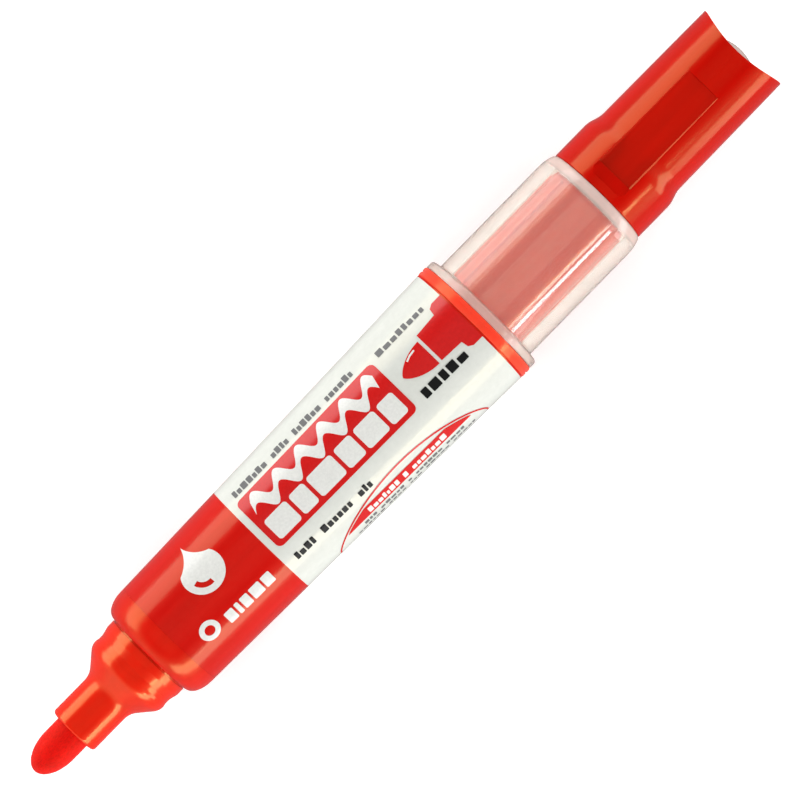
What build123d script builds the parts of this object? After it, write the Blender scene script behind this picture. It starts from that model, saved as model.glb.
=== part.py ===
from build123d import *
import math
import os

# A refillable whiteboard marker, lying along X with its nib towards -X and its cap pushed onto the tail.
# Z = 0 is the surface it lies on, and the origin is below the middle of its length.
# Along the marker, a station is the distance in mm from the tip of the nib.

os.makedirs("parts", exist_ok=True)

# ---------------------------------------------------------------- driving dimensions, mm
LENGTH = 141.6  # tip of the nib to the end of the crown
RING_RADIUS = 10.2  # tail ring, the widest part, which the marker lies on
RUNNING_GAP = 0.05  # radial clearance of parts that slide
SEAT_GAP = 0.02  # radial clearance of parts that stay put

NIB_RADIUS = 2.8
NIB_SHOULDER = 5.0  # station where the nose meets the straight nib
NIB_END = 18.0
NIB_SOCKET = 5.0  # depth of the hole for the feed rod
ROD_RADIUS = 1.2
ROD_END = 55.0

NOZZLE_FACE = 7.74
NOZZLE_TUBE_RADIUS = 3.9
FLARE_START, FLARE_END = 14.95, 18.15  # corners of the cone before rounding
BEAD_RADIUS = 6.6
BEAD_STATION = 19.0
NECK_RADIUS = 6.5
NECK_START, NECK_END = 19.45, 20.2
SEAT_RADIUS = 6.82  # the land that the cap closes on, at both ends of the marker
SEAT_START, SEAT_END = 21.5, 22.7
SKIRT_END, SKIRT_RADIUS, SKIRT_BORE = 31.0, 6.5, 5.5
BORE_CONE_START, BORE_CONE_END = 17.2, 18.9

BARREL_FACE = 22.95
BARREL_FACE_RADIUS = 7.1
SHOULDER_END, SHOULDER_RADIUS = 26.3, 8.92
BARREL_END, BARREL_END_RADIUS = 86.9, 10.15
LABEL_START, LABEL_END = 26.9, 86.7
LABEL_THICKNESS = 0.1
HOUSING_BORE_END = 50.6
CHAMBER_START, CHAMBER_RADIUS = 55.0, 8.3
SOCKET_START, SOCKET_RADIUS = 78.6, 8.7

HOUSING_START, HOUSING_END = 31.2, 50.0
HOUSING_RADIUS, HOUSING_BORE = 7.0, 6.2
HOUSING_WALL = 1.5

FIN_THICKNESS, FIN_PITCH = 0.5, 1.0
FRONT_FINS, FRONT_FIN_RADIUS, FRONT_FIN_START = 10, 5.3, 20.5
REAR_FINS, REAR_FIN_RADIUS, REAR_FIN_START = 14, 6.0, 32.0
COLLECTOR_START, COLLECTOR_END = 18.4, 46.8
COLLECTOR_CORE_RADIUS = 2.0
AIR_SLOT = 0.8

SPIGOT_RADIUS, SPIGOT_BORE = 1.8, 1.3
SPIGOT_START, SPIGOT_END = 46.9, 57.5
SPIGOT_FLANGE_RADIUS, SPIGOT_FLANGE_END = 3.2, 48.4

BOTTLE_START, BOTTLE_END = 52.5, 109.0
BOTTLE_RADIUS, BOTTLE_WALL = 5.7, 0.6
BOTTLE_NECK_RADIUS, BOTTLE_NECK_END, BOTTLE_SHOULDER_END = 4.2, 57.0, 59.6
COLLAR_LENGTH = 4.0
STOPPER_RADIUS, STOPPER_STATION = 1.7, 64.0
INK_LEVEL = 2.6  # height of the ink's surface above the marker's axis

PLUG_START = 79.2
PLUG_WALL = 1.25
PLUG_CONE_START, PLUG_CONE_END = 84.6, 86.4
RING_END = 88.5
RING_GROOVE, RING_GROOVE_WIDTH, RING_GROOVE_DEPTH = 87.75, 0.3, 0.12
POST_END, POST_BORE, POST_CORE_RADIUS = 110.6, 5.95, 6.5
POST_RIBS, RIB_WIDTH = 8, 0.8

CAP_MOUTH = 88.55
CAP_FLANGE_END, CAP_FLANGE_RADIUS = 89.85, 10.1
SLEEVE_RADIUS = 8.78
SLEEVE_SHOULDER, SLEEVE_END, SLEEVE_END_RADIUS = 109.6, 112.3, 8.05
SLEEVE_BORE = SEAT_RADIUS + RUNNING_GAP
SLEEVE_BORE_END = 111.0
CORE_RADIUS, CORE_BORE = 5.9, 5.1  # the closed tube that carries the crown
CORE_BORE_END = 136.0
DOME_TIP, DOME_RADIUS = 141.2, 6.8

CROWN_START = 112.35
CROWN_RADIUS, CROWN_WAIST_RADIUS, CROWN_END_RADIUS = 8.15, 7.52, 7.4
CROWN_STEP_START, CROWN_STEP_END = 118.8, 120.8  # corners of the step before rounding
CROWN_TURN = -2.6  # degrees about the axis that the cap is turned by
PANEL_WIDTH, PANEL_HEIGHT = 5.93, 6.81  # the flat finger panel, and its height above the axis
PANEL_WALL_SLOPE = 30  # degrees between the panel's floor and its long walls
PANEL_WALL_WIDTH = 0.25
PANEL_START, PANEL_STEP, PANEL_STEP_HEIGHT = 113.7, 115.6, 7.3
PANEL_END, PANEL_EXIT = 133.2, 136.6  # stations where the flat ends and where it has run out
SCALLOP_DEPTH = 1.85

# ---------------------------------------------------------------- datum planes
# Local x of PROFILE is the station and local y the radius, so half sections are drawn on it directly.
PROFILE = Plane(origin=(-LENGTH / 2, 0, RING_RADIUS), x_dir=(1, 0, 0), z_dir=(0, -1, 0))
LONG_AXIS = Axis((0, 0, RING_RADIUS), (1, 0, 0))


def section(station):
    """The plane across the marker at a station, with local y pointing up."""
    origin = (station - LENGTH / 2, 0, RING_RADIUS)
    return Plane(origin=origin, x_dir=(0, 1, 0), z_dir=(1, 0, 0))


def barrel_radius(station):
    """Outside radius of the barrel's straight taper."""
    share = (station - SHOULDER_END) / (BARREL_END - SHOULDER_END)
    return SHOULDER_RADIUS + share * (BARREL_END_RADIUS - SHOULDER_RADIUS)


def finish(piece, name):
    """Labels a finished piece and writes it as its own STEP file."""
    piece.part.label = name
    export_step(piece.part, f"parts/{name}.step")


# ---------------------------------------------------------------- nib: a felt bullet with an elliptical nose
with BuildPart() as nib:
    with BuildSketch(PROFILE):
        with BuildLine():
            nose = EllipticalCenterArc(
                (NIB_SHOULDER, 0),
                x_radius=NIB_SHOULDER,
                y_radius=NIB_RADIUS,
                start_angle=90,
                arc_size=90,
            )
            Polyline(
                nose @ 0,
                (NIB_END, NIB_RADIUS),
                (NIB_END, ROD_RADIUS + SEAT_GAP),
                (NIB_END - NIB_SOCKET, ROD_RADIUS + SEAT_GAP),
                (NIB_END - NIB_SOCKET, 0),
                nose @ 1,
            )
        make_face()
    revolve(axis=LONG_AXIS)
finish(nib, "nib")

# ---------------------------------------------------------------- feed rod: carries ink to the nib
with BuildPart() as feed_rod:
    with BuildSketch(section(NIB_END - NIB_SOCKET)):
        Circle(ROD_RADIUS)
    extrude(amount=ROD_END - NIB_END + NIB_SOCKET)
    chamfer(feed_rod.edges().filter_by(GeomType.CIRCLE), length=0.2)
finish(feed_rod, "feed_rod")

# ---------------------------------------------------------------- nozzle: stepped cone with a skirt
nib_bore = NIB_RADIUS + RUNNING_GAP

with BuildPart() as nozzle:
    with BuildSketch(PROFILE):
        with BuildLine():
            outside = FilletPolyline(
                (NOZZLE_FACE, nib_bore),
                (NOZZLE_FACE, NOZZLE_TUBE_RADIUS),
                (FLARE_START, NOZZLE_TUBE_RADIUS),
                (FLARE_END, BEAD_RADIUS),
                (BEAD_STATION, BEAD_RADIUS),
                radius=[0.45, 2.8, 2.0],
            )
            Polyline(
                outside @ 1,
                (NECK_START, NECK_RADIUS),
                (NECK_END, NECK_RADIUS),
                (SEAT_START, SEAT_RADIUS),
                (SEAT_END, SEAT_RADIUS),
                (SEAT_END, SKIRT_RADIUS),
                (SKIRT_END, SKIRT_RADIUS),
                (SKIRT_END, SKIRT_BORE),
                (BORE_CONE_END, SKIRT_BORE),
                (BORE_CONE_START, nib_bore),
                (NOZZLE_FACE, nib_bore),
            )
        make_face()
    revolve(axis=LONG_AXIS)
finish(nozzle, "nozzle")

# ---------------------------------------------------------------- collector: a finned core that holds back ink
with BuildPart() as collector:
    with BuildSketch(section(COLLECTOR_START)):
        Circle(COLLECTOR_CORE_RADIUS)
    extrude(amount=COLLECTOR_END - COLLECTOR_START)
    for start, count, radius in (
        (FRONT_FIN_START, FRONT_FINS, FRONT_FIN_RADIUS),
        (REAR_FIN_START, REAR_FINS, REAR_FIN_RADIUS),
    ):
        for index in range(count):
            with BuildSketch(section(start + index * FIN_PITCH)):
                Circle(radius)
            extrude(amount=FIN_THICKNESS)
    with BuildSketch(section(COLLECTOR_START)):
        Circle(ROD_RADIUS + RUNNING_GAP)
    extrude(amount=COLLECTOR_END - COLLECTOR_START, mode=Mode.SUBTRACT)
    with BuildSketch(section(FRONT_FIN_START - FIN_THICKNESS)):
        with Locations((0, REAR_FIN_RADIUS)):
            Rectangle(AIR_SLOT, 2 * (REAR_FIN_RADIUS - COLLECTOR_CORE_RADIUS) - AIR_SLOT)
    extrude(amount=COLLECTOR_END - FRONT_FIN_START, mode=Mode.SUBTRACT)
finish(collector, "collector")

# ---------------------------------------------------------------- collector housing: cup around the rear fins
with BuildPart() as collector_housing:
    with BuildSketch(PROFILE):
        with BuildLine():
            Polyline(
                (HOUSING_START, HOUSING_BORE),
                (HOUSING_START, HOUSING_RADIUS),
                (HOUSING_END, HOUSING_RADIUS),
                (HOUSING_END, SPIGOT_RADIUS + SEAT_GAP),
                (HOUSING_END - HOUSING_WALL, SPIGOT_RADIUS + SEAT_GAP),
                (HOUSING_END - HOUSING_WALL, HOUSING_BORE),
                close=True,
            )
        make_face()
    revolve(axis=LONG_AXIS)
finish(collector_housing, "collector_housing")

# ---------------------------------------------------------------- spigot: tube that opens the cartridge
with BuildPart() as spigot:
    with BuildSketch(PROFILE):
        with BuildLine():
            Polyline(
                (SPIGOT_START, SPIGOT_BORE),
                (SPIGOT_START, SPIGOT_FLANGE_RADIUS),
                (SPIGOT_FLANGE_END, SPIGOT_FLANGE_RADIUS),
                (SPIGOT_FLANGE_END, SPIGOT_RADIUS),
                (SPIGOT_END - 0.6, SPIGOT_RADIUS),
                (SPIGOT_END, SPIGOT_RADIUS - 0.3),
                (SPIGOT_END, SPIGOT_BORE),
                close=True,
            )
        make_face()
    revolve(axis=LONG_AXIS)
finish(spigot, "spigot")

# ---------------------------------------------------------------- barrel: tapered tube, recessed for its label
with BuildPart() as barrel:
    with BuildSketch(PROFILE):
        with BuildLine():
            shoulder = EllipticalCenterArc(
                (SHOULDER_END, BARREL_FACE_RADIUS),
                x_radius=SHOULDER_END - BARREL_FACE,
                y_radius=SHOULDER_RADIUS - BARREL_FACE_RADIUS,
                start_angle=90,
                arc_size=90,
            )
            Polyline(
                shoulder @ 0,
                (LABEL_START, barrel_radius(LABEL_START)),
                (LABEL_START, barrel_radius(LABEL_START) - LABEL_THICKNESS),
                (LABEL_END, barrel_radius(LABEL_END) - LABEL_THICKNESS),
                (LABEL_END, barrel_radius(LABEL_END)),
                (BARREL_END, BARREL_END_RADIUS),
                (BARREL_END, SOCKET_RADIUS),
                (SOCKET_START, SOCKET_RADIUS),
                (SOCKET_START, CHAMBER_RADIUS),
                (CHAMBER_START, CHAMBER_RADIUS),
                (HOUSING_BORE_END, HOUSING_RADIUS + SEAT_GAP),
                (SKIRT_END + 0.1, HOUSING_RADIUS + SEAT_GAP),
                (SKIRT_END + 0.1, SKIRT_RADIUS + SEAT_GAP),
                (BARREL_FACE, SKIRT_RADIUS + SEAT_GAP),
                shoulder @ 1,
            )
        make_face()
    revolve(axis=LONG_AXIS)
finish(barrel, "barrel")

# ---------------------------------------------------------------- label: printed film in the barrel's recess
film_start = LABEL_START + SEAT_GAP
film_end = LABEL_END - SEAT_GAP

with BuildPart() as label_film:
    with BuildSketch(PROFILE):
        with BuildLine():
            Polyline(
                (film_start, barrel_radius(film_start) - LABEL_THICKNESS),
                (film_start, barrel_radius(film_start)),
                (film_end, barrel_radius(film_end)),
                (film_end, barrel_radius(film_end) - LABEL_THICKNESS),
                close=True,
            )
        make_face()
    revolve(axis=LONG_AXIS)
finish(label_film, "label_film")


# ---------------------------------------------------------------- cartridge: bottle, collar, stopper and ink
def bottle_form(inset):
    """The bottle's outer shape as a solid, with its surface moved inwards by inset."""
    with BuildPart() as form:
        with BuildSketch(PROFILE):
            with BuildLine():
                FilletPolyline(
                    (BOTTLE_START + inset, 0),
                    (BOTTLE_START + inset, BOTTLE_NECK_RADIUS - inset),
                    (BOTTLE_NECK_END, BOTTLE_NECK_RADIUS - inset),
                    (BOTTLE_SHOULDER_END, BOTTLE_RADIUS - inset),
                    (BOTTLE_END - inset, BOTTLE_RADIUS - inset),
                    (BOTTLE_END - inset, 0),
                    radius=[0.2, 1.0, 1.0, 1.5 - inset],
                )
                Line((BOTTLE_END - inset, 0), (BOTTLE_START + inset, 0))
            make_face()
        revolve(axis=LONG_AXIS)
    return form.part


bottle_outside = bottle_form(0)
bottle_inside = bottle_form(BOTTLE_WALL)
ink_space = bottle_form(BOTTLE_WALL + 0.05)
neck_bore = BOTTLE_NECK_RADIUS - BOTTLE_WALL

with BuildPart() as cartridge_bottle:
    add(bottle_outside)
    add(bottle_inside, mode=Mode.SUBTRACT)
    with BuildSketch(section(BOTTLE_START)):
        Circle(neck_bore)
    extrude(amount=COLLAR_LENGTH, mode=Mode.SUBTRACT)
finish(cartridge_bottle, "cartridge_bottle")

with BuildPart() as cartridge_collar:
    with BuildSketch(section(BOTTLE_START)):
        Circle(neck_bore - SEAT_GAP)
        Circle(SPIGOT_RADIUS + RUNNING_GAP, mode=Mode.SUBTRACT)
    extrude(amount=COLLAR_LENGTH)
    chamfer(cartridge_collar.faces().sort_by(Axis.X)[0].inner_wires().edges(), length=0.5)
finish(cartridge_collar, "cartridge_collar")

stopper_low = BOTTLE_RADIUS - BOTTLE_WALL - STOPPER_RADIUS - 0.1
with BuildPart() as cartridge_stopper:
    with Locations((STOPPER_STATION - LENGTH / 2, 0, RING_RADIUS - stopper_low)):
        Sphere(STOPPER_RADIUS)
finish(cartridge_stopper, "cartridge_stopper")

ink_length = BOTTLE_END - BOTTLE_START
with BuildPart() as ink:
    add(ink_space)
    with BuildSketch(section(BOTTLE_START)):
        Circle(neck_bore + 1.0)
    extrude(amount=SPIGOT_END + 0.3 - BOTTLE_START, mode=Mode.SUBTRACT)
    with BuildSketch(section(BOTTLE_START)):
        with Locations((0, INK_LEVEL + BOTTLE_RADIUS)):
            Rectangle(2 * BOTTLE_RADIUS, 2 * BOTTLE_RADIUS)
    extrude(amount=ink_length, mode=Mode.SUBTRACT)
    with Locations((STOPPER_STATION - LENGTH / 2, 0, RING_RADIUS - stopper_low)):
        Sphere(STOPPER_RADIUS + 0.05, mode=Mode.SUBTRACT)
finish(ink, "ink")

# ---------------------------------------------------------------- tail plug: skirt, ring and ribbed post
plug_radius = SOCKET_RADIUS - RUNNING_GAP
rib_root = POST_CORE_RADIUS - 0.2  # the ribs start inside the post's wall

with BuildPart() as tail_plug:
    with BuildSketch(PROFILE):
        with BuildLine():
            post = FilletPolyline(
                (PLUG_START, plug_radius - PLUG_WALL),
                (PLUG_START, plug_radius),
                (BARREL_END + 0.05, plug_radius),
                (BARREL_END + 0.05, RING_RADIUS),
                (RING_END, RING_RADIUS),
                (RING_END, POST_CORE_RADIUS),
                (POST_END, POST_CORE_RADIUS),
                (POST_END, 0),
                radius=[0.4, 0.05, 0.2, 0.2, 0.3, 0.6],
            )
            Polyline(
                post @ 1,
                (POST_END - 1.0, 0),
                (POST_END - 1.0, POST_BORE),
                (PLUG_CONE_END, POST_BORE),
                (PLUG_CONE_START, plug_radius - PLUG_WALL),
                (PLUG_START, plug_radius - PLUG_WALL),
            )
        make_face()
    revolve(axis=LONG_AXIS)
    with BuildSketch(PROFILE):
        with Locations((RING_GROOVE, RING_RADIUS)):
            Rectangle(RING_GROOVE_WIDTH, 2 * RING_GROOVE_DEPTH)
    revolve(axis=LONG_AXIS, mode=Mode.SUBTRACT)
    with BuildSketch(section(RING_END - 0.3)):
        with PolarLocations((rib_root + SEAT_RADIUS) / 2, POST_RIBS, start_angle=90):
            Rectangle(SEAT_RADIUS - rib_root, RIB_WIDTH)
    extrude(amount=POST_END - RING_END - 0.3)
finish(tail_plug, "tail_plug")

# ---------------------------------------------------------------- cap body: flanged sleeve and domed core
core_end = DOME_TIP - DOME_RADIUS + math.sqrt(DOME_RADIUS**2 - CORE_RADIUS**2)
core_bore_nose = 1.6

with BuildPart() as cap_body:
    with BuildSketch(PROFILE):
        with BuildLine():
            flange = FilletPolyline(
                (CAP_MOUTH, SLEEVE_BORE),
                (CAP_MOUTH, CAP_FLANGE_RADIUS),
                (CAP_FLANGE_END, CAP_FLANGE_RADIUS),
                (CAP_FLANGE_END, SLEEVE_RADIUS),
                (SLEEVE_SHOULDER, SLEEVE_RADIUS),
                radius=[0.15, 0.5, 0.3],
            )
            Spline(
                flange @ 1,
                (SLEEVE_END - 0.75, SLEEVE_RADIUS - 0.26),
                (SLEEVE_END, SLEEVE_END_RADIUS),
                tangents=((1, 0), (0.45, -1)),
            )
            Polyline(
                (SLEEVE_END, SLEEVE_END_RADIUS),
                (SLEEVE_END, CORE_RADIUS),
                (core_end, CORE_RADIUS),
            )
            dome_middle = math.asin(CORE_RADIUS / DOME_RADIUS) / 2
            ThreePointArc(
                (core_end, CORE_RADIUS),
                (
                    DOME_TIP - DOME_RADIUS * (1 - math.cos(dome_middle)),
                    DOME_RADIUS * math.sin(dome_middle),
                ),
                (DOME_TIP, 0),
            )
            core = FilletPolyline(
                (DOME_TIP, 0),
                (CORE_BORE_END, 0),
                (CORE_BORE_END, CORE_BORE),
                (SLEEVE_BORE_END, CORE_BORE),
                (SLEEVE_BORE_END, SLEEVE_BORE),
                (CAP_MOUTH, SLEEVE_BORE),
                radius=[0.01, core_bore_nose, 0.3, 0.3],
            )
        make_face()
    revolve(axis=LONG_AXIS)
finish(cap_body, "cap_body")

# ---------------------------------------------------------------- crown: stepped cover with two finger panels
half_turns = (CROWN_TURN, CROWN_TURN + 180)
scallop_radius = (CROWN_END_RADIUS**2 + SCALLOP_DEPTH**2) / (2 * SCALLOP_DEPTH)
floor_half = PANEL_WIDTH / 2 - PANEL_WALL_WIDTH
wall_rise = PANEL_WALL_WIDTH * math.tan(math.radians(PANEL_WALL_SLOPE))
panel_top = CROWN_RADIUS + 0.5

with BuildPart() as cap_crown:
    with BuildSketch(PROFILE):
        with BuildLine():
            crown_side = FilletPolyline(
                (CROWN_START, CORE_RADIUS + SEAT_GAP),
                (CROWN_START, CROWN_RADIUS),
                (CROWN_STEP_START, CROWN_RADIUS),
                (CROWN_STEP_END, CROWN_WAIST_RADIUS),
                (LENGTH, CROWN_END_RADIUS),
                radius=[0.2, 4.0, 4.0],
            )
            Polyline(
                crown_side @ 1,
                (LENGTH, CORE_RADIUS + SEAT_GAP),
                (CROWN_START, CORE_RADIUS + SEAT_GAP),
            )
        make_face()
    revolve(axis=LONG_AXIS)
    for turn in half_turns:
        with BuildSketch(PROFILE.rotated((turn, 0, 0))):
            with BuildLine():
                Polyline(
                    (PANEL_START, panel_top),
                    (PANEL_START, CROWN_RADIUS - 0.35),
                    (PANEL_STEP, PANEL_STEP_HEIGHT),
                    (PANEL_STEP, panel_top),
                    close=True,
                )
                Polyline(
                    (PANEL_END, panel_top),
                    (PANEL_END, PANEL_HEIGHT),
                    (PANEL_EXIT, CROWN_WAIST_RADIUS),
                    (PANEL_EXIT, panel_top),
                    close=True,
                )
            make_face()
        extrude(amount=PANEL_WIDTH / 2, both=True, mode=Mode.SUBTRACT)
        with BuildSketch(section(PANEL_STEP).rotated((turn, 0, 0))):
            with BuildLine():
                Polyline(
                    (-floor_half, PANEL_HEIGHT),
                    (floor_half, PANEL_HEIGHT),
                    (PANEL_WIDTH / 2, PANEL_HEIGHT + wall_rise),
                    (PANEL_WIDTH / 2, panel_top),
                    (-PANEL_WIDTH / 2, panel_top),
                    (-PANEL_WIDTH / 2, PANEL_HEIGHT + wall_rise),
                    close=True,
                )
            make_face()
        extrude(amount=PANEL_END - PANEL_STEP, mode=Mode.SUBTRACT)
    with BuildSketch(PROFILE.rotated((CROWN_TURN - 90, 0, 0))):
        with Locations((LENGTH - SCALLOP_DEPTH + scallop_radius, 0)):
            Circle(scallop_radius)
    extrude(amount=2 * CROWN_RADIUS, both=True, mode=Mode.SUBTRACT)
finish(cap_crown, "cap_crown")
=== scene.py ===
import math

import bmesh
import bpy
import numpy as np
from mathutils import Matrix, Vector


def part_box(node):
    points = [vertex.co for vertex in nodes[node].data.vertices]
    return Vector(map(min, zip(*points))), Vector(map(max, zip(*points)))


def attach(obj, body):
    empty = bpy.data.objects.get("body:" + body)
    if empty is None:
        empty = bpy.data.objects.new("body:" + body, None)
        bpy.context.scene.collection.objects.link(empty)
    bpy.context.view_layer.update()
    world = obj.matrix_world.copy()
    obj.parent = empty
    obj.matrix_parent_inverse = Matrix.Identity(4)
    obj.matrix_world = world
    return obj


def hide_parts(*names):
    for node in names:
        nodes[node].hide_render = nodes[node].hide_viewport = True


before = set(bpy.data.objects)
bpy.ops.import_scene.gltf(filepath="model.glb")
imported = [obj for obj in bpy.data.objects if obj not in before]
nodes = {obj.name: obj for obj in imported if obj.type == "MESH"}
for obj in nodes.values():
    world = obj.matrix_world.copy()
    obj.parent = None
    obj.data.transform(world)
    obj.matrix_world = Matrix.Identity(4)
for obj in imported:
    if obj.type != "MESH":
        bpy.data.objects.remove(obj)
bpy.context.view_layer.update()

# A whiteboard marker seen from above on a white table. Lengths in the script are in mm along the
# marker from the tip of its nib ("station") and become metres through MM.
MM = 0.001


# ---------------------------------------------------------------- measures taken from the CAD nodes
def vertices(node):
    mesh = nodes[node].data
    points = np.empty(len(mesh.vertices) * 3)
    mesh.vertices.foreach_get("co", points)
    return points.reshape(-1, 3)


tip_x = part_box("nib")[0].x
low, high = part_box("tail_plug")
axis_y, axis_z = (low.y + high.y) / 2, (low.z + high.z) / 2


def at(station):
    """The X of a station."""
    return tip_x + station * MM


def outline(node):
    """Stations' X and outside radii of a turned CAD node, for np.interp."""
    points = vertices(node)
    radius = np.hypot(points[:, 1] - axis_y, points[:, 2] - axis_z)
    xs = np.unique(points[:, 0].round(7))
    return xs, np.array([radius[np.abs(points[:, 0] - x) < 1e-6].max() for x in xs])


film_outline = outline("label_film")
FILM_END = (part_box("label_film")[1].x - tip_x) / MM
RED_END = 45.2  # station where the label's red half gives way to white


# ---------------------------------------------------------------- material building
def material(name):
    made = bpy.data.materials.new(name)
    made.use_nodes = True
    return made, made.node_tree, made.node_tree.nodes["Principled BSDF"]


def place(tree, kind, **inputs):
    node = tree.nodes.new(kind)
    for key, value in inputs.items():
        node.inputs[key.replace("_", " ")].default_value = value
    return node


def position(tree, scale=(1, 1, 1)):
    """Object coordinates in mm, stretched by scale."""
    where = tree.nodes.new("ShaderNodeTexCoord")
    mapping = tree.nodes.new("ShaderNodeMapping")
    mapping.inputs["Scale"].default_value = [s / MM for s in scale]
    tree.links.new(where.outputs["Object"], mapping.inputs["Vector"])
    return mapping.outputs["Vector"]


def noise(tree, vector, scale, detail=4.0, roughness=0.55):
    node = place(tree, "ShaderNodeTexNoise", Scale=scale, Detail=detail, Roughness=roughness)
    tree.links.new(vector, node.inputs["Vector"])
    return node.outputs["Fac"]


def ramp(tree, factor, stops):
    node = tree.nodes.new("ShaderNodeValToRGB")
    node.color_ramp.elements[0].position, node.color_ramp.elements[0].color = stops[0]
    node.color_ramp.elements[1].position, node.color_ramp.elements[1].color = stops[-1]
    for where, colour in stops[1:-1]:
        node.color_ramp.elements.new(where).color = colour
    tree.links.new(factor, node.inputs["Fac"])
    return node.outputs["Color"]


def mixed(tree, factor, first, second):
    """A colour mix. Each colour is a constant or a socket."""
    node = tree.nodes.new("ShaderNodeMix")
    node.data_type = "RGBA"
    for socket, value in ((node.inputs[0], factor), (node.inputs[6], first), (node.inputs[7], second)):
        if isinstance(value, bpy.types.NodeSocket):
            tree.links.new(value, socket)
        else:
            socket.default_value = value
    return node.outputs[2]


def bump(tree, shader, height, distance):
    """Relief of the given depth in mm."""
    node = place(tree, "ShaderNodeBump", Strength=1.0, Distance=distance * MM)
    tree.links.new(height, node.inputs["Height"])
    tree.links.new(node.outputs["Normal"], shader.inputs["Normal"])


def rgba(colour, share=1.0):
    return (*(c * share for c in colour), 1.0)


def grey(level):
    return (level, level, level, 1.0)


def station_level(tree, stops):
    """A grey that follows the station. The stops are (station, level), and it stays level outside them."""
    first, last = stops[0][0], stops[-1][0]
    where = tree.nodes.new("ShaderNodeSeparateXYZ")
    tree.links.new(position(tree), where.inputs["Vector"])
    share = tree.nodes.new("ShaderNodeMapRange")
    tree.links.new(where.outputs["X"], share.inputs["Value"])
    share.inputs["From Min"].default_value = at(first) / MM
    share.inputs["From Max"].default_value = at(last) / MM
    return ramp(
        tree, share.outputs["Result"],
        [((station - first) / (last - first), grey(level)) for station, level in stops])


def moulded(name, colour, roughness, subsurface=0.25, tint=(1, 1, 1), gloss=0.5, through=0.0):
    """Moulded plastic: slow shade changes, flow lines along the marker, and a faint surface wave.

    subsurface, tint and gloss are the shader's own. through stands in for light that the plastic lets by.
    """
    variation = 0.08  # share of the colour
    wave, grain = 0.012, 0.002  # depths in mm
    made, tree, shader = material(name)
    slow = noise(tree, position(tree, (0.12, 1, 1)), 0.35, 3.0)
    fine = noise(tree, position(tree), 6.0, 5.0)
    tree.links.new(
        ramp(tree, slow, [(0.3, rgba(colour, 1 - variation)), (0.7, rgba(colour, 1 + variation))]),
        shader.inputs["Base Color"])
    tree.links.new(
        ramp(tree, fine, [(0.35, grey(roughness * 0.85)), (0.7, grey(roughness * 1.25))]),
        shader.inputs["Roughness"])
    swell = place(tree, "ShaderNodeMath")
    swell.operation = "MULTIPLY_ADD"
    tree.links.new(fine, swell.inputs[0])
    swell.inputs[1].default_value = grain / wave
    tree.links.new(slow, swell.inputs[2])
    bump(tree, shader, swell.outputs[0], wave)
    shader.inputs["Subsurface Weight"].default_value = subsurface
    shader.inputs["Subsurface Radius"].default_value = (1.0, 0.2, 0.1)
    shader.inputs["Subsurface Scale"].default_value = 2.0 * MM
    shader.inputs["Specular Tint"].default_value = rgba(tint)
    shader.inputs["Specular IOR Level"].default_value = gloss
    shader.inputs["Emission Color"].default_value = rgba(colour)
    shader.inputs["Emission Strength"].default_value = through
    return made


def dress(node, made):
    mesh = nodes[node].data
    mesh.materials.clear()
    mesh.materials.append(made)


# ---------------------------------------------------------------- materials of the CAD nodes
WARM = (1.0, 0.82, 0.30)  # red plastic, lit through as well as on its surface, glints orange
dress("barrel", moulded("barrel_red", (0.70, 0.003, 0.002), roughness=0.2, tint=WARM, gloss=0.7))
dress("nozzle", moulded(
    "nozzle_red", (0.84, 0.010, 0.003), subsurface=0.5, roughness=0.16, tint=WARM, gloss=1.0))
dress("tail_plug", moulded(
    "plug_red", (0.94, 0.06, 0.03), subsurface=0.4, roughness=0.16, tint=WARM, through=0.12))
dress("cap_crown", moulded("crown_red", (0.56, 0.0002, 0.0001), roughness=0.14, subsurface=0.0, tint=WARM))
dress("collector", moulded("collector_plastic", (0.80, 0.76, 0.70), roughness=0.3))
dress("collector_housing", moulded("housing_plastic", (0.82, 0.80, 0.76), roughness=0.3))
dress("spigot", moulded("spigot_plastic", (0.82, 0.80, 0.76), roughness=0.3))
dress("cartridge_stopper", moulded("stopper_plastic", (0.80, 0.79, 0.76), roughness=0.3))
dress("cartridge_bottle", moulded("bottle_plastic", (0.80, 0.79, 0.77), roughness=0.35, subsurface=0.5))
dress("cartridge_collar", moulded("seal_rubber", (0.03, 0.03, 0.032), roughness=0.6, subsurface=0.0))
dress("ink", moulded("ink_red", (0.30, 0.002, 0.004), roughness=0.05, subsurface=0.0))


# Where the clear cap is frosted: partly at the flange on its mouth, and fully from the crown's seat on
CAP_FROST = [(89.75, 0.4), (89.95, 0.0), (110.4, 0.0), (111.1, 1.0)]  # (station, share)


def clear_plastic():
    """The cap: clear moulding with a slight haze and faint swirls, and frosted ends."""
    made, tree, shader = material("cap_clear")
    haze = noise(tree, position(tree, (0.15, 1, 1)), 0.5, 4.0)
    clear = ramp(tree, haze, [(0.3, (0.985, 0.915, 0.82, 1)), (0.7, (0.995, 0.945, 0.87, 1))])
    frosted = ramp(tree, haze, [(0.3, (0.90, 0.68, 0.61, 1)), (0.7, (0.97, 0.77, 0.69, 1))])
    frost = station_level(tree, CAP_FROST)
    tree.links.new(mixed(tree, frost, clear, frosted), shader.inputs["Base Color"])
    tree.links.new(
        ramp(tree, frost, [(0.0, grey(0.90)), (1.0, grey(0.30))]), shader.inputs["Transmission Weight"])
    fine = noise(tree, position(tree), 4.0, 5.0)
    tree.links.new(
        ramp(tree, fine, [(0.35, grey(0.03)), (0.7, grey(0.055))]), shader.inputs["Roughness"])
    bump(tree, shader, haze, 0.003)
    shader.inputs["IOR"].default_value = 1.5
    return made


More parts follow.
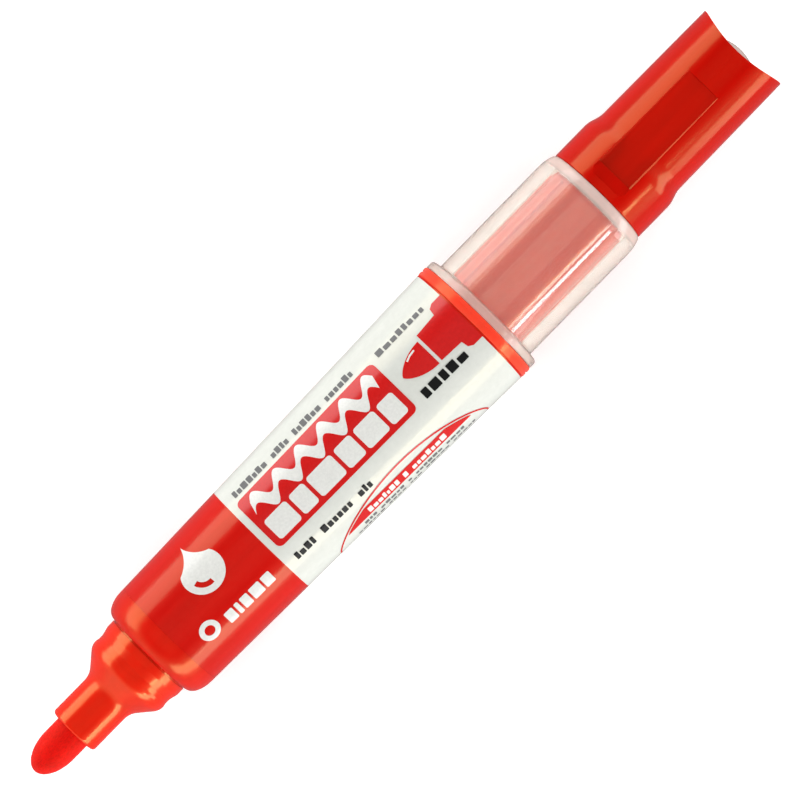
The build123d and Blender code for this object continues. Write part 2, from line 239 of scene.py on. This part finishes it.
def fibre():
    """The feed rod: bundled fibres along the marker, soaked with ink."""
    made, tree, shader = material("rod_fibre")
    strands = noise(tree, position(tree, (0.05, 1, 1)), 8.0, 6.0, 0.7)
    tree.links.new(
        ramp(tree, strands, [(0.3, (0.35, 0.003, 0.004, 1)), (0.7, (0.62, 0.02, 0.02, 1))]),
        shader.inputs["Base Color"])
    shader.inputs["Roughness"].default_value = 0.8
    bump(tree, shader, strands, 0.05)
    return made


FILM_TINT = (1.0, 0.85, 0.50)  # the film glints less orange than the plastic does


def film():
    """The label film: red ink over white stock up to a sharp edge, with a faint paper tooth."""
    made, tree, shader = material("label_film_print")
    where = tree.nodes.new("ShaderNodeSeparateXYZ")
    tree.links.new(position(tree), where.inputs["Vector"])
    over = place(tree, "ShaderNodeMath")
    over.operation = "GREATER_THAN"
    tree.links.new(where.outputs["X"], over.inputs[0])
    over.inputs[1].default_value = at(RED_END) / MM
    mottle = noise(tree, position(tree), 1.2, 5.0)
    streaks = noise(tree, position(tree, (0.08, 1, 1)), 0.6, 3.0)
    red = ramp(tree, streaks, [(0.3, (0.58, 0.003, 0.002, 1)), (0.7, (0.66, 0.004, 0.003, 1))])
    white = ramp(tree, mottle, [(0.3, (0.69, 0.705, 0.655, 1)), (0.7, (0.73, 0.745, 0.695, 1))])
    tree.links.new(mixed(tree, over.outputs[0], red, white), shader.inputs["Base Color"])
    tree.links.new(
        ramp(tree, mottle, [(0.35, grey(0.14)), (0.7, grey(0.20))]), shader.inputs["Roughness"])
    bump(tree, shader, streaks, 0.01)
    shader.inputs["Specular Tint"].default_value = rgba(FILM_TINT)
    return made


def felt():
    """The nib: fine felt soaked with red ink, with painted shade in its pits."""
    made, tree, shader = material("nib_felt")
    fuzz = noise(tree, position(tree, (0.5, 1, 1)), 5.0, 8.0, 0.7)
    slow = noise(tree, position(tree), 0.5, 3.0)
    tint = ramp(tree, slow, [(0.3, (0.74, 0.001, 0.003, 1)), (0.7, (0.90, 0.002, 0.004, 1))])
    # Painted shade: the felt's colour is darkened where its bump is lowest, in its pits
    pit_shade = ramp(tree, fuzz, [(0.30, grey(0.72)), (0.55, grey(1.0))])
    mix = tree.nodes.new("ShaderNodeMix")
    mix.data_type = "RGBA"
    mix.blend_type = "MULTIPLY"
    mix.inputs[0].default_value = 1.0
    tree.links.new(tint, mix.inputs[6])
    tree.links.new(pit_shade, mix.inputs[7])
    tree.links.new(mix.outputs[2], shader.inputs["Base Color"])
    shader.inputs["Roughness"].default_value = 0.62
    shader.inputs["Sheen Weight"].default_value = 0.12
    shader.inputs["Sheen Roughness"].default_value = 0.4
    shader.inputs["Sheen Tint"].default_value = (1.0, 0.2, 0.12, 1)
    shader.inputs["Specular IOR Level"].default_value = 0.2
    shader.inputs["Specular Tint"].default_value = rgba(WARM)
    bump(tree, shader, fuzz, 0.06)
    return made


dress("cap_body", clear_plastic())
dress("feed_rod", fibre())
dress("label_film", film())


# ---------------------------------------------------------------- pieces
def piece(name, mesh, made, smooth=True):
    bmesh.ops.recalc_face_normals(mesh, faces=mesh.faces)
    data = bpy.data.meshes.new(name)
    mesh.to_mesh(data)
    mesh.free()
    if smooth:
        data.shade_smooth()
        data.set_sharp_from_angle(angle=math.radians(35))
    data.materials.append(made)
    made_object = bpy.data.objects.new(name, data)
    bpy.context.scene.collection.objects.link(made_object)
    return made_object


# ---------------------------------------------------------------- nib
def build_nib():
    """A finer nib over the CAD one's outline, its felt pressed in a little."""
    around, steps = 96, 150
    press, press_share = 0.04 * MM, 0.03  # deepest press, and as a share of the radius near the tip
    xs, radii = outline("nib")
    radii = np.maximum.accumulate(radii)  # leaves out the hole for the feed rod
    keep = radii > 0.05 * MM
    xs, radii = np.append(xs[0], xs[keep]), np.append(0.0, radii[keep])
    # Even steps along the outline's length, so that the round tip gets as many rings as the sides
    length = np.append(0, np.cumsum(np.hypot(np.diff(xs), np.diff(radii))))
    t = np.linspace(0, length[-1], steps)
    ring_x, ring_r = np.interp(t, length, xs), np.interp(t, length, radii)
    rng = np.random.default_rng(7)
    fuzz = rng.random((steps, around))
    for _ in range(2):
        fuzz = (fuzz + np.roll(fuzz, 1, 0) + np.roll(fuzz, 1, 1)) / 3
    fuzz = (fuzz - fuzz.min()) / (fuzz.max() - fuzz.min())
    mesh = bmesh.new()
    tip = mesh.verts.new((ring_x[0], axis_y, axis_z))
    rings = []
    for i in range(1, steps):
        ring = []
        for j in range(around):
            angle = 2 * math.pi * j / around
            radius = ring_r[i] - fuzz[i, j] * min(press, ring_r[i] * press_share)
            ring.append(mesh.verts.new(
                (ring_x[i], axis_y + radius * math.sin(angle), axis_z + radius * math.cos(angle))))
        rings.append(ring)
    for j in range(around):
        mesh.faces.new((tip, rings[0][j], rings[0][(j + 1) % around]))
    for a, b in zip(rings, rings[1:]):
        for j in range(around):
            k = (j + 1) % around
            mesh.faces.new((a[j], b[j], b[k], a[k]))
    mesh.faces.new(rings[-1])
    return piece("nib_felt_tip", mesh, felt())


nib = build_nib()
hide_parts("nib")
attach(nib, "barrel")


# ---------------------------------------------------------------- printed graphics
# A print lies on the label, drawn flat as (station, azimuth) with the azimuth in degrees from the top
# towards +Y. DEGREE is the arc of one degree in mm at the middle of the label.
DEGREE = math.radians(9.6)
CUT = 0.35  # mm between the cuts that let a print bend round the label
THICKNESS = 0.02  # mm of each print
LIFT = 0.018  # mm from the film to the lowest layer of prints
LAYER = 0.006  # mm from one layer to the next


def bar(s0, s1, a0, a1, corner=0.25):
    """A rounded bar between two stations and two azimuths, corner in mm."""
    corner = min(corner, 0.49 * (s1 - s0), 0.49 * abs(a1 - a0) * DEGREE)
    low_s, high_s = s0 + corner, s1 - corner
    low_a, high_a = a0 + corner / DEGREE, a1 - corner / DEGREE
    points = []
    for s, a, start in ((high_s, high_a, 0), (low_s, high_a, 90), (low_s, low_a, 180), (high_s, low_a, 270)):
        for k in range(7):
            turn = math.radians(start + 15 * k)
            points.append((s + corner * math.cos(turn), a + corner * math.sin(turn) / DEGREE))
    return points


def stroke(points, width):
    """A band of the given half widths (mm) along a line of (station, azimuth) points."""
    line = np.array([(s, a * DEGREE) for s, a in points])
    tangent = np.gradient(line, axis=0)
    tangent /= np.hypot(*tangent.T)[:, None]
    normal = np.stack([-tangent[:, 1], tangent[:, 0]], 1) * np.array(width)[:, None]
    edge = np.vstack([line + normal, (line - normal)[::-1]])
    return [(s, a / DEGREE) for s, a in edge]


def words(start, lengths, a0, a1, gap=0.7, letter=1.0, seed=1):
    """A row of text stood in for by plain blocks: a group of blocks of about the width letter per word."""
    rng = np.random.default_rng(seed)
    blocks = []
    s = start
    for length in lengths:
        count = max(1, round(length / letter))
        cuts = np.cumsum(rng.uniform(0.75, 1.25, count))
        cuts = np.append(0, cuts / cuts[-1] * length)
        for left, right in zip(cuts, cuts[1:]):
            top = a1 if rng.random() < 0.45 else a0 + (a1 - a0) * 0.72
            blocks.append(bar(s + left, s + right - 0.22 * letter, a0, top, 0.12))
        s += length + gap
    return blocks


def printed(name, shapes, colour, layer=1):
    """A thin print on the label: the shapes are outlines, and one inside another is a hole."""
    curve = bpy.data.curves.new(name, "CURVE")
    curve.dimensions = "2D"
    curve.fill_mode = "BOTH"
    for shape in shapes:
        spline = curve.splines.new("POLY")
        spline.points.add(len(shape) - 1)
        for point, (s, a) in zip(spline.points, shape):
            point.co = (s, a * DEGREE, 0, 1)
        spline.use_cyclic_u = True
    flat = bpy.data.objects.new(name + "_flat", curve)
    bpy.context.scene.collection.objects.link(flat)
    bpy.context.view_layer.update()
    source = bpy.data.meshes.new_from_object(flat)
    mesh = bmesh.new()
    mesh.from_mesh(source)
    bpy.data.objects.remove(flat)
    bpy.data.curves.remove(curve)
    bpy.data.meshes.remove(source)
    bmesh.ops.remove_doubles(mesh, verts=mesh.verts, dist=1e-4)
    lowest = min(v.co.y for v in mesh.verts)
    highest = max(v.co.y for v in mesh.verts)
    for k in range(math.floor(lowest / CUT) + 1, math.ceil(highest / CUT)):
        bmesh.ops.bisect_plane(
            mesh, geom=mesh.verts[:] + mesh.edges[:] + mesh.faces[:],
            plane_co=(0, k * CUT, 0), plane_no=(0, 1, 0))
    copied = bmesh.ops.extrude_face_region(mesh, geom=mesh.faces[:])
    outer = {v for v in copied["geom"] if isinstance(v, bmesh.types.BMVert)}
    for v in mesh.verts:
        x, angle = at(v.co.x), math.radians(v.co.y / DEGREE)
        lift = LIFT + LAYER * (layer - 1) + (THICKNESS if v in outer else 0)
        radius = np.interp(x, *film_outline) + lift * MM
        v.co = (x, axis_y + radius * math.sin(angle), axis_z + radius * math.cos(angle))
    made_object = piece(name, mesh, print_ink(name + "_ink", colour))
    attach(made_object, "barrel")


def print_ink(name, colour):
    """Printing ink on the film, with a faint mottle."""
    made, tree, shader = material(name)
    mottle = noise(tree, position(tree), 2.5, 5.0)
    tree.links.new(
        ramp(tree, mottle, [(0.3, rgba(colour, 0.93)), (0.7, rgba(colour, 1.05))]),
        shader.inputs["Base Color"])
    tree.links.new(
        ramp(tree, mottle, [(0.35, grey(0.16)), (0.7, grey(0.22))]), shader.inputs["Roughness"])
    bump(tree, shader, mottle, 0.003)
    # Dark inks dry dull, red and white ones stay glossy
    shader.inputs["Specular IOR Level"].default_value = 0.5 if max(colour) > 0.3 else 0.12
    return made


def wave(s0, s1, middle, swing, turns, half_width):
    """A drawn wavy line with slanted ends. The swing and half width are in mm across the marker."""
    us = np.linspace(0, 1, 360)
    rise = [swing * math.sin(2 * math.pi * turns * u) for u in us]
    lean = 0.5 * half_width
    top = [(s0 + (s1 - s0) * u + lean * (1 - u), middle + (r + half_width) / DEGREE)
           for u, r in zip(us, rise)]
    bottom = [(s0 + (s1 - s0) * u - lean * u, middle + (r - half_width) / DEGREE)
              for u, r in zip(us, rise)]
    return top + bottom[::-1]


def arc(station, azimuth, radius, turns):
    """Points on a circle at the given turns in radians."""
    return [(station + radius * math.cos(t), azimuth + radius * math.sin(t) / DEGREE) for t in turns]


def drop(station, azimuth, radius, reach):
    """An ink drop: a round belly with a point reaching up the label, sizes in mm."""
    belly = arc(station, azimuth, radius, np.linspace(math.radians(-212), math.radians(32), 60))
    start, tip = belly[-1], (station, azimuth + (reach - radius) / DEGREE)
    # Each side leaves the belly along its tangent and bends in towards the point
    bend = (station + 0.12 * radius, azimuth + 0.5 * (reach - radius) / DEGREE)
    side = [tuple((1 - t) ** 2 * a + 2 * t * (1 - t) * b + t * t * c for a, b, c in zip(start, bend, tip))
            for t in np.linspace(0.08, 1, 14)]
    return belly + side + [(2 * station - s, a) for s, a in side[-2::-1]]


def drop_glint(station, azimuth, radius):
    """A crescent inside the drop's belly."""
    turns = np.linspace(math.radians(195), math.radians(275), 24)
    return arc(station, azimuth, 0.70 * radius, turns) + arc(station, azimuth, 0.46 * radius, turns[::-1])


def ring(station, azimuth, radius):
    """A full circle."""
    return arc(station, azimuth, radius, [math.radians(7.5 * k) for k in range(48)])


def row(s0, widths, gap, a0, a1, corner):
    """A row of rounded blocks."""
    blocks = []
    for width in widths:
        blocks.append(bar(s0, s0 + width, a0, a1, corner))
        s0 += width + gap
    return blocks


WHITE = (0.80, 0.80, 0.76)
GREY = (0.17, 0.17, 0.17)
BLACK = (0.012, 0.012, 0.012)
RED = (0.64, 0.007, 0.006)


def print_emblem():
    """On the red half: an ink drop over a ring and a row of blocks."""
    station, azimuth, radius = 36.6, 17.0, 3.3
    printed("print_emblem_drop", [
        drop(station, azimuth, radius, reach=9.0), drop_glint(station, azimuth, radius)], WHITE)
    printed("print_emblem_dot", [ring(31.5, -24.5, 1.6), ring(31.5, -24.5, 0.8)], WHITE)
    printed("print_emblem_row", row(34.3, (1.5, 0.7, 1.4, 1.9, 1.6), 0.38, -35.0, -23.0, 0.2), WHITE)


def print_panel():
    """A red panel with a wave over a row of blocks, and a small row above it."""
    printed("print_small_row", words(46.9, [6.6, 3.4, 5.4, 5.4], 44, 52, 1.0, 0.9, seed=3), GREY)
    printed("print_panel", [bar(46.3, 73.4, -17.1, 39.2, 0.9)], RED)
    printed("print_panel_wave", [wave(47.4, 72.2, 23.2, 1.15, 5.5, 1.0)], WHITE, 2)
    printed("print_panel_row", row(47.3, (4.2, 2.8, 4.8, 3.2, 4.0, 3.0), 0.62, -12.5, 9.0, 0.5), WHITE, 2)


def print_nib_pictogram():
    """A bullet, and its holder up to the tail ring, between two rows."""
    middle, half_width, start, length = 9.0, 12.4, 74.9, 5.0
    bullet = [(start + length * u, middle - half_width * (1 - (1 - u) ** 2) ** 0.75)
              for u in np.linspace(0, 1, 28)]
    bullet += [(s, 2 * middle - a) for s, a in bullet[:0:-1]]
    holder = [(80.4, 25.5), (84.1, 27.0), (84.3, 33.5), (85.0, 36.0), (FILM_END, 36.0),
              (FILM_END, -12.5), (85.0, -12.5), (84.3, -10.0), (84.1, -4.0), (80.4, -3.0)]
    glint = stroke([(76.9, 16.0), (77.7, 17.8), (78.7, 18.6)], np.full(3, 0.13))
    printed("print_size_row", words(74.6, [9.4], 37.0, 43.5, letter=1.25, seed=5), GREY)
    printed("print_type_row", words(75.2, [8.6], -16.5, -8.0, letter=1.7, seed=8), BLACK)
    printed("print_nib_picture", [bullet, holder], RED)
    printed("print_nib_glint", [glint], WHITE, 2)


def print_back():
    """On the side away from the camera: a frame with blocks in it, and rows."""
    lengths = [6.2, 3.4, 7.0, 4.4, 5.6]
    for k in range(7):
        azimuth = 148 + 9 * k
        printed(f"print_back_row_{k}", words(
            48.5, lengths[k % 3:] + [3.8], azimuth, azimuth + 4.5, 0.95, 0.9, seed=30 + k), GREY)
    printed("print_back_frame", [bar(47.0, 84.0, 112, 136, 0.9), bar(47.5, 83.5, 114, 134, 0.6)], RED)
    printed("print_back_blocks", row(49.0, (2.4, 3.6, 2.0, 3.0, 2.6, 3.4, 2.2), 0.7, 118, 130, 0.4), RED)


def print_arch():
    """A black row over a thin arch, a lens with a row in it under the arch, and fine rows below."""
    middle, half, top, fall = 66.1, 14.3, -39.5, 40.0  # stations, then azimuths
    lens_top, lens_bottom = -48.5, -61.0

    def arch(s):
        return top - fall * (1 - math.sqrt(max(0.0, 1 - ((s - middle) / half) ** 2)))

    printed("print_ink_row", words(47.0, [3.8, 5.8, 2.6], -37.0, -29.5, 1.3, 0.95, seed=11), BLACK)
    stations = middle - half * np.cos(np.linspace(0, math.pi, 90))
    printed("print_arc", [stroke([(s, arch(s)) for s in stations], np.full(90, 0.15))], RED)
    line = [(s, min(lens_top, arch(s) - 2.5)) for s in np.linspace(54.6, 77.6, 70)]
    line = [(s, a) for s, a in line if a > lens_bottom + 1]
    printed("print_lens", [line + [(line[-1][0] + 0.4, lens_bottom), (line[0][0] - 0.4, lens_bottom)]], RED)
    printed("print_lens_row", words(58.6, [6.0, 0.9, 6.6], -58.5, -51.5, 0.8, 0.9, seed=13), WHITE, 2)
    printed("print_fine_rows",
            words(57.0, [2.4, 4.6, 0.8, 5.2, 3.6], -69.0, -64.5, 0.7, 0.85, seed=17)
            + words(55.4, [5.2, 3.4, 2.4, 4.6, 4.4], -76.0, -72.5, 0.7, 0.85, seed=19), GREY)


print_emblem()
print_panel()
print_nib_pictogram()
print_back()
print_arch()


# ---------------------------------------------------------------- stage, lights and camera
# The table's own light as (station, strength), with less of it behind the clear sleeve
FLOOR_GLOW = [(60, 0.42), (89, 0.32), (109.3, 0.32), (118, 0.42)]


def build_floor():
    """A white table that glows a little, and that glossy parts don't mirror."""
    mesh = bmesh.new()
    half, cells = 3.0, 24
    bmesh.ops.create_grid(mesh, x_segments=cells, y_segments=cells, size=half)
    made, tree, shader = material("table_white")
    tone = noise(tree, position(tree), 0.004, 2.0)
    tree.links.new(ramp(tree, tone, [(0.3, grey(0.94)), (0.7, grey(0.96))]), shader.inputs["Base Color"])
    shader.inputs["Roughness"].default_value = 0.9
    shader.inputs["Emission Color"].default_value = grey(1.0)
    tree.links.new(station_level(tree, FLOOR_GLOW), shader.inputs["Emission Strength"])
    floor = piece("table", mesh, made, smooth=False)
    floor.visible_glossy = False


def softbox(name, location, target, width, height, radiance, glossy=True):
    """A rectangular lamp of an even radiance, facing the target."""
    light = bpy.data.lights.new(name, "AREA")
    light.shape = "RECTANGLE"
    light.size, light.size_y = width, height
    light.energy = radiance * math.pi * width * height
    lamp = bpy.data.objects.new(name, light)
    lamp.location = location
    lamp.rotation_euler = (Vector(target) - Vector(location)).to_track_quat("-Z", "Y").to_euler()
    lamp.visible_glossy = glossy
    bpy.context.scene.collection.objects.link(lamp)


def build_lights():
    middle = (0, 0, axis_z)
    near, far = -0.9, 0.9  # the lamps' distance on either side of the marker
    softbox("side_window", (0, far, 0.31), middle, 1.8, 0.62, 2.3)
    # The near side's two strips end where the clear sleeve would mirror them
    softbox("side_strip", (-0.385, near, 0.47), middle, 1.03, 0.06, 6.5)
    softbox("side_band", (-0.385, near, 0.27), middle, 1.03, 0.34, 3.6)
    # These two give one highlight each, along the sleeve and along the crown
    softbox("sleeve_glint", (0.10, near, 0.43), (0.03, 0, axis_z), 0.06, 0.12, 18.0)
    softbox("crown_band", (0.53, near, 0.05), (0.06, 0, axis_z), 0.80, 0.42, 3.4)
    softbox("overhead", (0, 0, 1.4), middle, 1.5, 1.5, 1.15, glossy=False)


# The studio's brightness by the height of a direction, from -1 straight down to 1 straight up
SKY = [(-0.80, 0.25), (-0.16, 0.40), (0.04, 0.80), (0.35, 0.80), (0.75, 0.13)]


def build_sky():
    world = bpy.data.worlds.new("studio")
    world.use_nodes = True
    tree = world.node_tree
    direction = tree.nodes.new("ShaderNodeTexCoord")
    height = tree.nodes.new("ShaderNodeSeparateXYZ")
    tree.links.new(direction.outputs["Generated"], height.inputs["Vector"])
    share = tree.nodes.new("ShaderNodeMapRange")
    tree.links.new(height.outputs["Z"], share.inputs["Value"])
    share.inputs["From Min"].default_value = -1.0
    tree.links.new(
        ramp(tree, share.outputs["Result"], [((z + 1) / 2, grey(level)) for z, level in SKY]),
        tree.nodes["Background"].inputs["Color"])
    bpy.context.scene.world = world


def build_camera():
    """It looks almost straight down, with the marker's nib at the lower left of the picture."""
    turn = math.radians(45.6)
    eye = Vector((-0.01087, -0.00024, axis_z + 0.5875))
    target = Vector((0.00188, -0.00024, axis_z))
    back = (eye - target).normalized()
    right = Vector((math.cos(turn), -math.sin(turn), 0))
    right = (right - right.dot(back) * back).normalized()
    up = back.cross(right)
    lens = bpy.data.cameras.new("camera")
    lens.lens, lens.sensor_width = 189, 36
    lens.clip_start, lens.clip_end = 0.01, 20
    camera = bpy.data.objects.new("camera", lens)
    camera.matrix_world = Matrix.Translation(eye) @ Matrix((right, up, back)).transposed().to_4x4()
    bpy.context.scene.collection.objects.link(camera)
    return camera


build_floor()
build_lights()
build_sky()
scene = bpy.context.scene
scene.camera = build_camera()
scene.view_settings.view_transform = "Standard"
